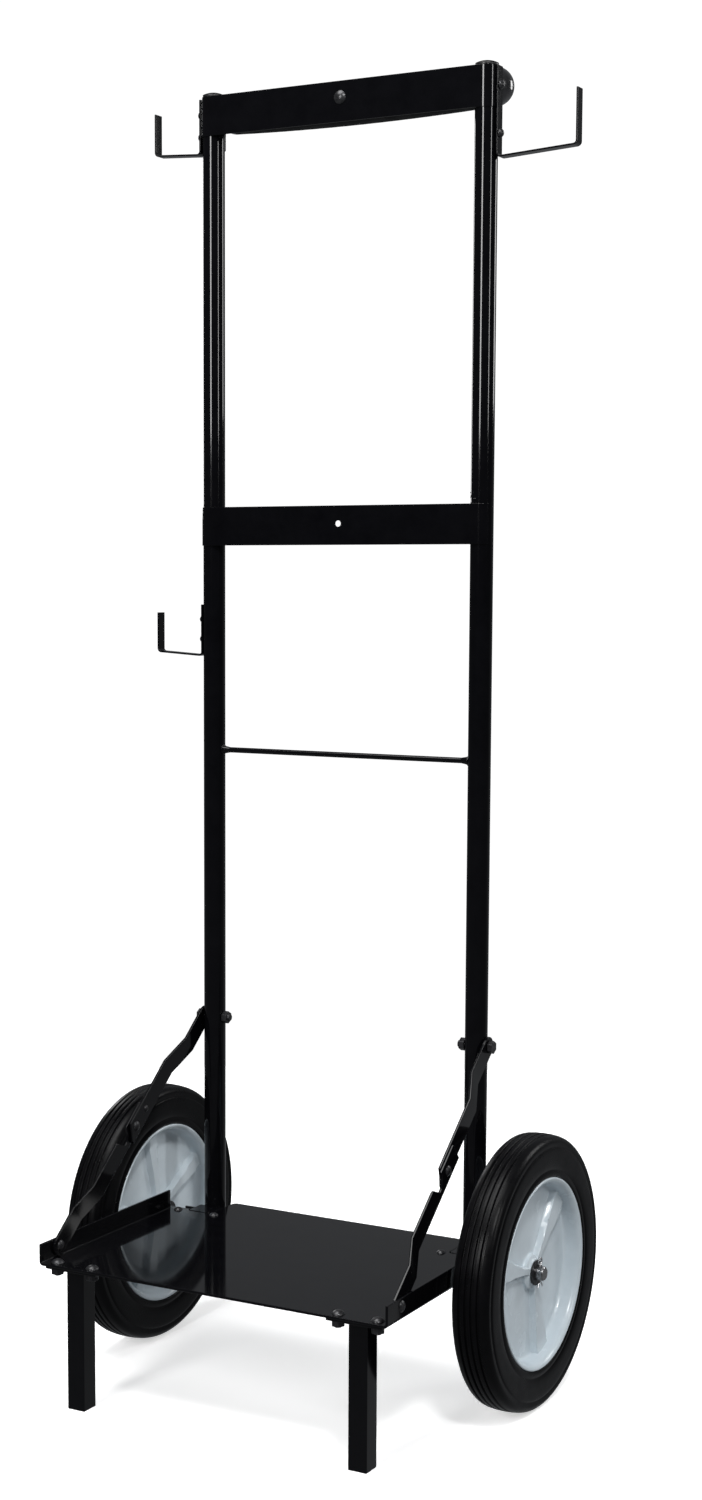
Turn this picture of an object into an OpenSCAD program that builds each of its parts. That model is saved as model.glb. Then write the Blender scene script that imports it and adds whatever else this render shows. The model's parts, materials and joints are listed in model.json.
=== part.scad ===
// Folding hand cart for two gas cylinders and their hoses.
// Millimetres, +Z up, +X to the right, cylinders stand in front of the uprights at -Y.
// Origin: on the floor, under the middle of the whole cart.

/* [Wheels] */
// Tyre outside diameter
wheel_d = 304.8; // [280:0.1:330]
// Tyre width
wheel_w = 44.4; // [36:0.1:50]
// Opening of the tyre that shows the white rim
rim_d = 212; // [180:1:230]
// Middle of each wheel from the centre line
wheel_x = 247.5; // [244:0.1:256]
// Axle diameter
axle_d = 15.88; // [12:0.01:20]
// Depth of the rim's dish, from the tyre's face to the disc
dish_depth = 21; // [12:0.5:24]
// Ribs on the outer side of the rim's disc
rib_count = 3; // [3:1:6]
// Ribs on the inner side of the rim's disc
inner_rib_count = 5; // [3:1:6]

/* [Uprights] */
// Outside diameter of the upright tubes
tube_d = 25.4; // [22:0.1:28]
// Wall of the upright tubes
tube_wall = 1.6; // [1.2:0.1:2.5]
// Each upright from the centre line
tube_x = 172; // [165:0.5:175]
// Top of the tubes
tube_top = 1455; // [1300:1:1500]
// Lowest point of the tubes
tube_foot = 142; // [136:1:146]
// Height of the joint between lower and upper tubes
joint_z = 802; // [780:1:820]

/* [Crosspieces] */
// Height of the flat crosspieces
strap_h = 44; // [36:0.5:50]
// Sheet thickness of the crosspieces
strap_t = 1.2; // [1:0.1:2]
// Top edge of the middle crosspiece
middle_top = 993; // [960:1:1010]
// Diameter of the lower cross rod
rod_d = 6.35; // [5:0.05:8]
// Height of the lower cross rod
rod_z = 712; // [690:1:730]
// Hole in the middle crosspiece for a cylinder strap
strap_hole_d = 7; // [5:0.1:9]

/* [Rear grip] */
// Largest diameter of the barrel-shaped rear grip
grip_d = 49.2; // [44:0.2:52]
// Diameter of the rear grip at its rounded ends
grip_end_d = 42; // [34:0.5:46]
// Height of the rear grip's middle
grip_z = 1442; // [1420:1:1446]

/* [Hooks] */
// Width of the hook strap
hook_w = 13; // [10:0.5:16]
// Thickness of the hook strap
hook_t = 2; // [1.6:0.1:4]
// Reach of the right hook
reach_right = 94.5; // [80:0.5:100]
// Reach of the two left hooks
reach_left = 63; // [50:1:78]
// Upward tilt of the hooks' arms in degrees
hook_tilt = 3.5; // [0:0.5:8]

/* [Base] */
// Width of the base plate over its folded sides
base_w = 432; // [420:1:434]
// Sheet thickness of the base plate
base_t = 3; // [2:0.1:4]
// Front edge of the base plate from the axle
base_reach = 271; // [250:1:290]
// Tongue of the base plate behind the axle
tongue_reach = 40; // [30:1:45]
// Height of the folded sides above the plate
side_h = 21; // [16:0.5:24]
// Width of the square legs
leg_w = 22; // [18:0.5:26]
// Each leg from the centre line
leg_x = 176; // [165:1:180]

/* [Folding stays] */
// Width of the stay bars
stay_w = 22.2; // [16:0.1:23]
// Thickness of the stay bars
stay_t = 3; // [2.5:0.1:3.2]
// Height of the bolt that holds each stay to its upright
stay_bolt_z = 394; // [380:1:410]
// Distance of the stay's foot rivet in front of the axle
stay_foot_y = 240; // [225:1:250]

/* [Hidden] */
$fn = 96;

black_paint = [0.06, 0.06, 0.07];
bolt_black = [0.12, 0.12, 0.13];
zinc = [0.75, 0.76, 0.78];
rim_white = [0.9, 0.93, 0.95];
rubber_black = [0.09, 0.09, 0.1];
cut = 0.01;           // lets a cutting tool pass a face
gap = 0.35;           // clear space between parts that slide past each other
bore_clear = 0.06;    // radial clearance of a pin in its hole

wheel_r = wheel_d / 2;
axle_r = axle_d / 2;
axle_z = wheel_r;
axle_y = (base_reach - wheel_r) / 2;      // centres the whole cart on the origin
tube_r = tube_d / 2;
tube_y = axle_y + axle_r + tube_r;        // the axle is welded across the tubes' fronts
tube_out = tube_x + tube_r;
tube_in = tube_x - tube_r;
tube_bore_r = tube_r - tube_wall;
spigot_len = 30;
spigot_r = tube_bore_r - 0.1;
axle_half = wheel_x + 21;
base_under = axle_z + axle_r + gap;
base_top = base_under + base_t;
base_front = axle_y - base_reach;
base_half = base_w / 2;
side_rear = axle_y - 14;                  // rear end of the folded sides
wing_rear = axle_y - 8;                   // rear edge of the plate outside the uprights
notch_front = axle_y - 15;                // front of the notch that clears each upright
notch_out = tube_out + 4;
tongue_half = tube_in - 2.3;
leg_y = base_front + 22;
leg_bolt_y = base_front + 11;
leg_bolt_dx = 23;
leg_flange_t = 3;

// ---------- shared shapes ----------

// Copies a shape to the other side of the cart
module other_side() {
  mirror([1, 0, 0]) children();
}

// Cylinder along X that starts at x and runs towards +X
module rod_x(d, h, x, y, z) {
  translate([x, y, z]) rotate([0, 90, 0]) cylinder(d = d, h = h);
}

// Hexagon nut or head along X
module hex_x(flats, h, x, y, z) {
  translate([x, y, z]) rotate([0, 90, 0]) cylinder(d = flats / cos(30), h = h, $fn = 6);
}

// Low round head on +X, as a slice of a ball
module dome_head(d, h) {
  ball_r = (d * d / 4 + h * h) / (2 * h);
  rotate([0, 90, 0]) intersection() {
    translate([0, 0, h - ball_r]) sphere(r = ball_r);
    cylinder(d = d, h = h);
  }
}

// Bolt along +Z: low round head on top, hexagon nut below, the sheets clamped between 0 and grip
module upright_bolt(d, grip, head_d, nut_flats) {
  head_h = d * 0.55;
  translate([0, 0, grip]) rotate([0, -90, 0]) dome_head(head_d, head_h);
  translate([0, 0, -d]) cylinder(d = d, h = grip + d);
  translate([0, 0, -d * 0.8]) cylinder(d = nut_flats / cos(30), h = d * 0.8, $fn = 6);
}

// ---------- uprights ----------

module lower_tube() {
  color(black_paint) translate([tube_x, tube_y, 0]) difference() {
    union() {
      translate([0, 0, tube_foot]) cylinder(r = tube_r, h = joint_z - tube_foot);
      translate([0, 0, joint_z - cut]) cylinder(r = spigot_r, h = spigot_len + cut);
    }
    translate([0, 0, tube_foot - cut]) cylinder(r = tube_bore_r - 1.2, h = joint_z + spigot_len);
    translate([0, -tube_y, 0]) rod_x(stay_bolt_d, tube_d * 2, -tube_d, tube_y, stay_bolt_z);
    translate([-tube_x, -tube_y, 0]) joint_screw(hole = true);
  }
}

module upper_tube(hook_holes_z) {
  color(black_paint) translate([tube_x, tube_y, 0]) difference() {
    translate([0, 0, joint_z]) cylinder(r = tube_r, h = tube_top - joint_z);
    translate([0, 0, joint_z - cut]) cylinder(r = tube_bore_r, h = tube_top - joint_z + 2 * cut);
    translate([-tube_x, -tube_y, 0]) {
      joint_screw(hole = true);
      bracket_screw(hole = true);
      for (z = hook_holes_z) rod_x(hook_bolt_d, tube_d, tube_x, tube_y, z);
    }
  }
}

module lower_upright_right() { lower_tube(); }
module lower_upright_left() { other_side() lower_tube(); }
module upper_upright_right() { upper_tube(hook_bolt_z_right); }
module upper_upright_left() {
  other_side() upper_tube(concat(hook_bolt_z_left, hook_bolt_z_lower));
}

// Plastic plug with a low dome
cap_rim_h = 3;
cap_dome_h = 3;
cap_plug_h = 10;
module tube_cap() {
  color(black_paint) translate([tube_x, tube_y, tube_top]) {
    cylinder(r = tube_r, h = cap_rim_h);
    translate([0, 0, cap_rim_h - cut]) rotate([0, -90, 0]) dome_head(tube_d, cap_dome_h);
    translate([0, 0, -cap_plug_h]) cylinder(r = tube_bore_r - 0.1, h = cap_plug_h + cut);
  }
}
module tube_cap_right() { tube_cap(); }
module tube_cap_left() { other_side() tube_cap(); }

// Screw in the back of each upright that holds the joint together
joint_screw_z = joint_z + spigot_len / 2;
joint_screw_d = 5;
module joint_screw(hole = false) {
  translate([tube_x, tube_y, joint_screw_z]) rotate([0, 0, 90]) {
    if (hole) rod_x(joint_screw_d, tube_r + 2, tube_r / 2, 0, 0);
    else {
      rod_x(joint_screw_d, tube_r - tube_r / 2 + 0.2, tube_r / 2, 0, 0);
      translate([tube_r, 0, 0]) dome_head(9, 2.8);
    }
  }
}
module joint_screws() {
  color(bolt_black) {
    joint_screw();
    other_side() joint_screw();
  }
}

// ---------- crosspieces ----------

top_strap_z = tube_top - strap_h;
middle_strap_z = middle_top - strap_h;

// How far behind the tubes' middle the wrapped ends reach
top_wrap = 8;
middle_wrap = -7;

// Plan of a crosspiece: a flat strip in front, its ends wrapped round the outside of the tubes
module strap_plan(wrap) {
  translate([-tube_x, -tube_r - strap_t]) square([2 * tube_x, strap_t]);
  for (side = [-1, 1]) translate([side * tube_x, 0]) intersection() {
    difference() {
      circle(r = tube_r + strap_t);
      circle(r = tube_r);
    }
    translate([side > 0 ? 0 : -tube_d, -tube_d]) square([tube_d, tube_d + wrap]);
  }
}

module strap(z, wrap) {
  translate([0, tube_y, z]) linear_extrude(height = strap_h) strap_plan(wrap);
}

centre_bolt_d = 8;
centre_bolt_z = top_strap_z + strap_h * 0.6;
module top_crosspiece() {
  color(black_paint) difference() {
    strap(top_strap_z, top_wrap);
    translate([0, tube_y, centre_bolt_z]) rotate([90, 0, 0]) cylinder(d = centre_bolt_d, h = tube_d);
    for (z = hook_bolt_z_right) rod_x(hook_bolt_d, tube_d, tube_x, tube_y, z);
    for (z = hook_bolt_z_left) rod_x(hook_bolt_d, tube_d, -tube_x - tube_d, tube_y, z);
  }
}

module middle_crosspiece() {
  color(black_paint) difference() {
    strap(middle_strap_z, middle_wrap);
    translate([0, tube_y, middle_strap_z + strap_h * 0.54])
      rotate([90, 0, 0]) cylinder(d = strap_hole_d, h = tube_d);
  }
}

// Round-headed bolt and nut at the middle of the top crosspiece
module centre_bolt() {
  color(bolt_black) translate([0, tube_y - tube_r - strap_t, centre_bolt_z]) rotate([0, 0, -90]) {
    dome_head(15, 3.2);
    rod_x(centre_bolt_d, 12, -12, 0, 0);
    hex_x(13, 6.5, -strap_t - 6.5, 0, 0);
  }
}

// Short welds behind the crosspieces, in the grooves between the sheet and the uprights
module crosspiece_welds() {
  weld_h = 13;
  weld_w = 6;
  weld_in = tube_x - 10.5;          // inner edge of each weld
  color(black_paint) for (side = [-1, 1], strap_z = [top_strap_z, middle_strap_z],
                          z = [strap_z + 1, strap_z + strap_h - weld_h - 1]) difference() {
    translate([side > 0 ? weld_in : -weld_in - weld_w, tube_y - tube_r, z]) cube([weld_w, 3, weld_h]);
    translate([side * tube_x, tube_y, z - 1]) cylinder(r = tube_r, h = weld_h + 2);
  }
}

// Rod welded between the uprights, with a small flare of weld at each end
module lower_cross_rod() {
  flare = 9;
  reach = tube_x - 4;
  color(black_paint) difference() {
    union() {
      rod_x(rod_d, 2 * reach, -reach, tube_y, rod_z);
      for (side = [0, 1]) mirror([side, 0, 0]) translate([tube_in - flare, tube_y, rod_z])
        rotate([0, 90, 0]) cylinder(d1 = rod_d, d2 = rod_d + 5, h = flare + 4);
    }
    for (side = [-1, 1]) translate([side * tube_x, tube_y, rod_z - tube_d])
      cylinder(r = tube_r, h = 2 * tube_d);
  }
}

// ---------- rear grip ----------

bracket_t = 2.6;
bracket_w = 14;
bracket_foot = 1394;                // lower end of each bracket
bracket_in = tube_x - 32;           // inner end of the arm that the grip is bolted to
bracket_arm_h = 22;
grip_half = tube_x - 8;
grip_core_d = 25.4;
grip_y = tube_y + tube_r + bracket_t + grip_end_d / 2 + 1;
grip_bolt_d = 6;
grip_bolt_x = tube_x - 24;
bracket_screw_d = 5;
bracket_screw_z = bracket_foot + 10;

// Outline of the barrel over its axis, from the radius at one end to the other
function barrel(steps = 16) = [for (i = [0 : steps])
  let (x = grip_half * (2 * i / steps - 1), fall = (grip_d - grip_end_d) / 2)
  [grip_d / 2 - fall * pow(x / grip_half, 2), x]];

// Thick soft sleeve of the grip
module rear_grip() {
  color(rubber_black) difference() {
    translate([0, grip_y, grip_z]) rotate([0, 90, 0]) rotate_extrude()
      polygon(concat([[grip_core_d / 2, -grip_half]], barrel(), [[grip_core_d / 2, grip_half]]));
    grip_bolt(hole = true);
    other_side() grip_bolt(hole = true);
  }
}

// Steel tube inside the sleeve
module grip_core() {
  color(black_paint) difference() {
    rod_x(grip_core_d - 0.1, 2 * grip_half, -grip_half, grip_y, grip_z);
    rod_x(grip_core_d - 2 * tube_wall, 2 * grip_half + 2, -grip_half - 1, grip_y, grip_z);
    grip_bolt(hole = true);
    other_side() grip_bolt(hole = true);
  }
}

// Rounded end plug of the grip
module grip_end() {
  plug = 10;
  plug_d = grip_core_d - 2 * tube_wall - 0.2;
  color(rubber_black) translate([grip_half, grip_y, grip_z]) {
    intersection() {
      sphere(d = grip_end_d);
      translate([0, -grip_end_d, -grip_end_d]) cube(2 * grip_end_d);
    }
    rod_x(plug_d, plug + cut, -plug, 0, 0);
  }
}
module grip_end_right() { grip_end(); }
module grip_end_left() { other_side() grip_end(); }

// Flat bracket behind each upright: a leg down the tube and an arm inwards for the grip
module grip_bracket() {
  leg_in = tube_x - bracket_w / 2;
  leg_out = tube_x + bracket_w / 2;
  arm_z = grip_z - bracket_arm_h / 2;
  clip = 5;
  color(black_paint) difference() {
    translate([0, tube_y + tube_r + bracket_t, 0]) rotate([90, 0, 0]) linear_extrude(height = bracket_t)
      polygon([[leg_in + clip, bracket_foot], [leg_out - clip, bracket_foot], [leg_out, bracket_foot + clip],
               [leg_out, arm_z + bracket_arm_h], [bracket_in, arm_z + bracket_arm_h], [bracket_in, arm_z],
               [leg_in, arm_z], [leg_in, bracket_foot + clip]]);
    grip_bolt(hole = true);
    bracket_screw(hole = true);
  }
}
module grip_bracket_right() { grip_bracket(); }
module grip_bracket_left() { other_side() grip_bracket(); }

// Bolt from the bracket's front into the grip's core, with its nut inside the core
module grip_bolt(hole = false) {
  front = tube_y + tube_r;
  nut_front = grip_y - grip_core_d / 2 + tube_wall + 1.8;
  nut_h = 5;
  translate([grip_bolt_x, front, grip_z]) rotate([0, 0, 90]) {
    rod_x(grip_bolt_d + (hole ? 0.2 : 0), nut_front + nut_h - front, 0, 0, 0);
    if (!hole) {
      mirror([1, 0, 0]) dome_head(11, 3);
      hex_x(10, nut_h, nut_front - front, 0, 0);
    }
  }
}

// Screw from the bracket's rear face into the upright
module bracket_screw(hole = false) {
  rear = tube_r + bracket_t;
  translate([tube_x, tube_y, bracket_screw_z]) rotate([0, 0, 90]) {
    rod_x(bracket_screw_d, rear - tube_r / 2, tube_r / 2, 0, 0);
    if (!hole) translate([rear, 0, 0]) dome_head(9, 2.8);
  }
}
module grip_bolts() {
  color(bolt_black) {
    grip_bolt();
    bracket_screw();
    other_side() {
      grip_bolt();
      bracket_screw();
    }
  }
}

// ---------- hooks ----------

hook_bolt_d = 5;
hook_x = tube_out + strap_t;
hook_low_x = tube_out;
back_right = 96;                    // height of each hook's backplate
back_left = 62;
back_lower = 60;
tip_right = 59;                     // height of each hook's outer end
tip_left = 48;
tip_lower = 47;
hook_right_z = tube_top - back_right - 0.5;
hook_left_z = tube_top - back_left - 1;
hook_lower_z = 821;
hook_bolt_z_right = [hook_right_z + 26, hook_right_z + 76];
hook_bolt_z_left = [hook_left_z + 20.5, hook_left_z + 45];
hook_bolt_z_lower = [hook_lower_z + 20, hook_lower_z + 43];

// Points along an arc, both ends included
function arc(centre, r, from, to, steps = 10) =
  [for (i = [0 : steps]) let (a = from + (to - from) * i / steps) centre + r * [cos(a), sin(a)]];

// Side view of a strap hook: backplate up the tube, an arm outwards and a tip that stands up
bend_inner_r = 3;
module hook_profile(back_h, reach, tip_h) {
  inner = bend_inner_r;
  outer = inner + hook_t;
  along = [cos(hook_tilt), sin(hook_tilt)];
  first = [outer, outer];
  second = first + (reach - 2 * outer) * along;
  polygon(concat(
    [[0, back_h]],
    arc(first, outer, 180, 270 + hook_tilt),
    arc(second, outer, 270 + hook_tilt, 360),
    [second + [outer, tip_h - outer], second + [inner, tip_h - outer]],
    arc(second, inner, 360, 270 + hook_tilt),
    arc(first, inner, 270 + hook_tilt, 180),
    [[hook_t, back_h]]));
}

module hook(x, z, back_h, reach, tip_h, bolts_z) {
  color(black_paint) difference() {
    translate([x, tube_y + hook_w / 2, z]) rotate([90, 0, 0])
      linear_extrude(height = hook_w) hook_profile(back_h, reach, tip_h);
    for (bolt_z = bolts_z) rod_x(hook_bolt_d, 2 * hook_t, x - cut, tube_y, bolt_z);
  }
}

module hook_upper_right() {
  hook(hook_x, hook_right_z, back_right, reach_right, tip_right, hook_bolt_z_right);
}
module hook_upper_left() {
  other_side() hook(hook_x, hook_left_z, back_left, reach_left, tip_left, hook_bolt_z_left);
}
module hook_lower_left() {
  other_side() hook(hook_low_x, hook_lower_z, back_lower, reach_left, tip_lower, hook_bolt_z_lower);
}

// Screw into the side of the tube, with a high round head outside the hook
module hook_bolt(x, z) {
  head_x = x + hook_t;
  tip_x = tube_out - 8;
  translate([head_x, tube_y, z]) dome_head(10, 4.6);
  rod_x(hook_bolt_d - 0.1, head_x - tip_x, tip_x, tube_y, z);
}
module hook_bolts() {
  color(bolt_black) {
    for (z = hook_bolt_z_right) hook_bolt(hook_x, z);
    other_side() for (z = hook_bolt_z_left) hook_bolt(hook_x, z);
    other_side() for (z = hook_bolt_z_lower) hook_bolt(hook_low_x, z);
  }
}

// ---------- axle ----------

washer_t = 2.5;
washer_d = 28;
hub_half = 15;                      // half the length of the wheel's hub
hub_out = wheel_x - 6;              // the hub sits this far out, measured at its middle
pin_d = 3.2;
pin_x = hub_out + hub_half + gap + washer_t + pin_d;

module axle() {
  chamfer = 1.2;
  color(zinc) difference() {
    union() {
      rod_x(axle_d, 2 * (axle_half - chamfer), -axle_half + chamfer, axle_y, axle_z);
      for (side = [0, 1]) mirror([side, 0, 0])
        translate([axle_half - chamfer - cut, axle_y, axle_z]) rotate([0, 90, 0])
          cylinder(d1 = axle_d, d2 = axle_d - 2 * chamfer, h = chamfer + cut);
    }
    for (side = [-1, 1]) translate([side * pin_x, axle_y, axle_z - axle_d])
      cylinder(d = pin_d + 0.3, h = 2 * axle_d);
  }
}

// Weld metal in the groove between the axle and each upright, above and below
module axle_welds() {
  half_len = 9;
  half_h = 5.5;
  color(black_paint) for (side = [-1, 1]) difference() {
    translate([side * tube_x - half_len, axle_y, axle_z - half_h])
      cube([2 * half_len, 2 * axle_r, 2 * half_h]);
    rod_x(axle_d, 4 * half_len, side * tube_x - 2 * half_len, axle_y, axle_z);
    translate([side * tube_x, tube_y, axle_z - tube_d]) cylinder(r = tube_r, h = 2 * tube_d);
    translate([side * tube_x - tube_d, axle_y - cut, axle_z - tube_d])
      cube([2 * tube_d, axle_r * 0.45, 2 * tube_d]);
  }
}

// Short plates on the axle, welded to the uprights, that fill the notches of the unfolded base
module upright_lugs() {
  play = 0.4;                       // gap beside a lug
  front_play = 2.4;                 // gap in front, where the notch's lower edge swings in
  r = notch_corner_r;
  x0 = tongue_half + play;
  x1 = notch_out - play;
  front = notch_front + front_play;
  color(black_paint) for (side = [0, 1]) mirror([side, 0, 0])
    translate([0, 0, axle_z + axle_r]) linear_extrude(height = base_top - axle_z - axle_r) difference() {
      union() {
        translate([x0, front + r]) square([x1 - x0, tube_y - tube_r / 2 - front - r]);
        translate([x0 + r, front]) square([x1 - x0 - 2 * r, r + cut]);
        for (x = [x0 + r, x1 - r]) translate([x, front + r]) circle(r = r);
      }
      translate([tube_x, tube_y]) circle(r = tube_r);
    }
}

// Plain washers on both sides of each wheel's hub
module axle_washers() {
  color(zinc) for (side = [0, 1]) mirror([side, 0, 0])
    for (x = [hub_out - hub_half - gap - washer_t, hub_out + hub_half + gap]) difference() {
      rod_x(washer_d, washer_t, x, axle_y, axle_z);
      rod_x(axle_d + 2 * bore_clear, washer_t + 2, x - 1, axle_y, axle_z);
    }
}

// Split pin: a ring above the axle, a shank through it and two legs bent apart below
module split_pin() {
  ring_r = 4;
  leg = 9;
  translate([pin_x, axle_y, axle_z]) {
    translate([0, 0, -axle_r - 1]) cylinder(d = pin_d, h = axle_d + 2.5);
    translate([0, 0, axle_r + ring_r + 0.8]) rotate([0, 90, 0])
      rotate_extrude() translate([ring_r, 0]) circle(d = pin_d * 0.62);
    for (lean = [-38, 38]) translate([0, 0, -axle_r - 0.6]) rotate([lean, 0, 0])
      translate([0, 0, -leg]) cylinder(d = pin_d * 0.62, h = leg);
  }
}
module split_pins() {
  color(zinc) {
    split_pin();
    other_side() split_pin();
  }
}

// ---------- base ----------

bend_out = 4.5;
bend_in = bend_out - base_t;
tongue_corner_r = 6;
notch_corner_r = 5;

// Front view of the plate with its two sides folded up
module pan_profile() {
  side_top = base_top + side_h;
  translate([-base_half + bend_out, base_under]) square([base_w - 2 * bend_out, base_t]);
  for (side = [0, 1]) mirror([side, 0]) {
    translate([base_half - base_t, base_under + bend_out])
      square([base_t, side_top - base_under - bend_out]);
    translate([base_half - bend_out, base_under + bend_out]) intersection() {
      difference() {
        circle(r = bend_out);
        circle(r = bend_in);
      }
      translate([0, -bend_out]) square(bend_out);
    }
  }
}

// Plan of the plate behind the folded sides: two wings and a tongue between the uprights
module rear_plan() {
  corner = tongue_corner_r;
  difference() {
    union() {
      translate([-base_half + 0.4, side_rear - cut]) square([base_w - 0.8, wing_rear - side_rear + cut]);
      translate([-tongue_half, side_rear - cut])
        square([2 * tongue_half, axle_y + tongue_reach - corner - side_rear + cut]);
      translate([-tongue_half + corner, side_rear])
        square([2 * (tongue_half - corner), axle_y + tongue_reach - side_rear]);
      for (side = [-1, 1]) translate([side * (tongue_half - corner), axle_y + tongue_reach - corner])
        circle(r = corner);
    }
    for (side = [0, 1]) mirror([side, 0]) notch_plan();
  }
}

// Notch that lets the plate swing past an upright
module notch_plan() {
  r = notch_corner_r;
  translate([tongue_half, notch_front + r]) square([notch_out - tongue_half, tube_d]);
  translate([tongue_half + r, notch_front]) square([notch_out - tongue_half - 2 * r, tube_d]);
  for (x = [tongue_half + r, notch_out - r]) translate([x, notch_front + r]) circle(r = r);
}

module base_plate() {
  color(black_paint) difference() {
    union() {
      translate([0, side_rear, 0]) rotate([90, 0, 0])
        linear_extrude(height = side_rear - base_front) pan_profile();
      translate([0, 0, base_under]) linear_extrude(height = base_t) rear_plan();
    }
    translate([0, 0, base_under - 1]) linear_extrude(height = base_t + 2)
      for (side = [0, 1]) mirror([side, 0]) notch_plan();
    for (x = [-1, 1], dx = [-1, 1])
      translate([x * leg_x + dx * leg_bolt_dx, leg_bolt_y, base_under - 1])
        cylinder(d = leg_bolt_d + 0.2, h = base_t + 2);
    for (side = [-1, 1], x = loop_x) translate([side * x, loop_bolt_y, base_under - 1])
      cylinder(d = loop_bolt_d + 0.2, h = base_t + 2);
    rod_x(foot_rivet_d + 0.2, base_w + 2, -base_half - 1, stay_foot[0], stay_foot[1]);
  }
}

leg_bolt_d = 8;
leg_wall = 2;
module leg() {
  top = base_under - leg_flange_t;
  color(black_paint) translate([leg_x, leg_y, 0]) difference() {
    translate([-leg_w / 2, -leg_w / 2, 0]) cube([leg_w, leg_w, top]);
    translate([-leg_w / 2 + leg_wall, -leg_w / 2 + leg_wall, -1])
      cube([leg_w - 2 * leg_wall, leg_w - 2 * leg_wall, top + 2]);
  }
}
module leg_right() { leg(); }
module leg_left() { other_side() leg(); }

// Plate welded on the leg's top and bolted under the base plate
module leg_flange() {
  half = leg_bolt_dx + 10;
  front = base_front + 2;
  rear = leg_y + leg_w / 2;
  color(black_paint) difference() {
    translate([leg_x - half, front, base_under - leg_flange_t])
      cube([2 * half, rear - front, leg_flange_t]);
    for (dx = [-1, 1]) translate([leg_x + dx * leg_bolt_dx, leg_bolt_y, base_under - leg_flange_t - 1])
      cylinder(d = leg_bolt_d + 0.2, h = leg_flange_t + 2);
  }
}
module leg_flange_right() { leg_flange(); }
module leg_flange_left() { other_side() leg_flange(); }

module leg_bolts() {
  color(bolt_black) for (x = [-1, 1], dx = [-1, 1])
    translate([x * leg_x + dx * leg_bolt_dx, leg_bolt_y, base_under - leg_flange_t])
      upright_bolt(leg_bolt_d, leg_flange_t + base_t, 15, 13);
}

// Straps under the plate that wrap the axle and let the base swing on it
loop_t = 3;
loop_w = 14;
loop_x = [tube_in - 9.5, tube_out + 15];
loop_bolt_d = 6;
loop_out = axle_r + bore_clear + loop_t;
loop_leaf = 16;
loop_bolt_y = axle_y - loop_out - loop_leaf / 2 + 1;

module loop_profile() {
  reach = base_under - axle_z;
  difference() {
    union() {
      circle(r = loop_out);
      translate([-loop_out, 0]) square([2 * loop_out, reach]);
      translate([-loop_out - loop_leaf, reach - loop_t]) square([loop_leaf + loop_out, loop_t]);
    }
    circle(r = axle_r + bore_clear);
    translate([-axle_r - bore_clear, 0]) square([2 * (axle_r + bore_clear), 2 * loop_out]);
    translate([-2 * loop_out, reach]) square(4 * loop_out);
  }
}

module hinge_loops() {
  color(black_paint) for (x = loop_x) difference() {
    translate([x - loop_w / 2, axle_y, axle_z]) rotate([90, 0, 90])
      linear_extrude(height = loop_w) loop_profile();
    translate([x, loop_bolt_y, base_under - loop_t - 1])
      cylinder(d = loop_bolt_d + 0.2, h = loop_t + 2);
  }
}
module hinge_loops_right() { hinge_loops(); }
module hinge_loops_left() { other_side() hinge_loops(); }

module hinge_bolts() {
  color(bolt_black) for (side = [-1, 1], x = loop_x)
    translate([side * x, loop_bolt_y, base_under - loop_t])
      upright_bolt(loop_bolt_d, loop_t + base_t, 11, 10);
}

// ---------- folding stays ----------

stay_bolt_d = 8;
foot_rivet_d = 8;
knee_head_d = 12;
stay_top = [tube_y, stay_bolt_z];
stay_foot = [axle_y - stay_foot_y, base_top + stay_w / 2 + 1];
stay_run = stay_top - stay_foot;
stay_len = norm(stay_run);
stay_slope = atan2(stay_run[1], stay_run[0]);
link_len = stay_len / 2;
stay_knee = (stay_top + stay_foot) / 2;
stay_x_top = tube_out + gap;                         // inner face of the bar at the upright
stay_x_foot = base_half - base_t - stay_t - gap;     // inner face of the bar at the folded side
stay_x_upper = stay_x_foot - 10 - stay_t - gap;      // upper link at the knee
stay_x_lower = stay_x_upper + stay_t + gap;          // lower link at the knee

// Turns a shape drawn with x along the bar and y outwards into the stay's own slope
module along_stay(at) {
  translate([0, at[0], at[1]]) rotate([stay_slope, 0, 0]) rotate([0, 0, -90]) children();
}

// Bar with one joggle: x_a is its inner face at the start, x_b at the end
module joggled_bar(len, x_a, x_b, from, to) {
  linear_extrude(height = stay_w, center = true) polygon([
    [0, x_a], [from, x_a], [to, x_b], [len, x_b],
    [len, x_b + stay_t], [to - 1, x_b + stay_t], [from - 1, x_a + stay_t], [0, x_a + stay_t]]);
}

// Round end of a bar
module bar_end(at, x, d = stay_w) {
  translate([at, x, 0]) rotate([-90, 0, 0]) cylinder(d = d, h = stay_t);
}

// Hole through a bar for its pin
module bar_hole(at, d) {
  translate([at, 0, 0]) rotate([-90, 0, 0]) cylinder(d = d + 2 * bore_clear, h = base_half);
}

// Upper link: round end on the tube bolt, and a tail with a clipped corner past the knee
upper_joggle = [46, 82];            // where the bar's sideways joggle starts and ends
upper_tail = 17;
upper_clip = [11, 10];              // corner cut off the tail, along the bar and across it
module stay_upper() {
  tail_end = link_len + upper_tail;
  color(black_paint) along_stay(stay_top) difference() {
    union() {
      joggled_bar(tail_end, stay_x_top, stay_x_upper, upper_joggle[0], upper_joggle[1]);
      bar_end(0, stay_x_top);
    }
    bar_hole(0, stay_bolt_d);
    edge_cut([[tail_end - upper_clip[0], -cut], [tail_end - 6, upper_clip[1]],
              [tail_end, stay_w * 0.8], [tail_end + cut, -cut]]);
  }
}

// Cuts a bar through its thickness: x along the bar, y inwards from its upper edge
module edge_cut(outline) {
  translate([0, tube_out, stay_w / 2]) rotate([-90, 0, 0])
    linear_extrude(height = base_half - tube_out) polygon(outline);
}

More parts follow.
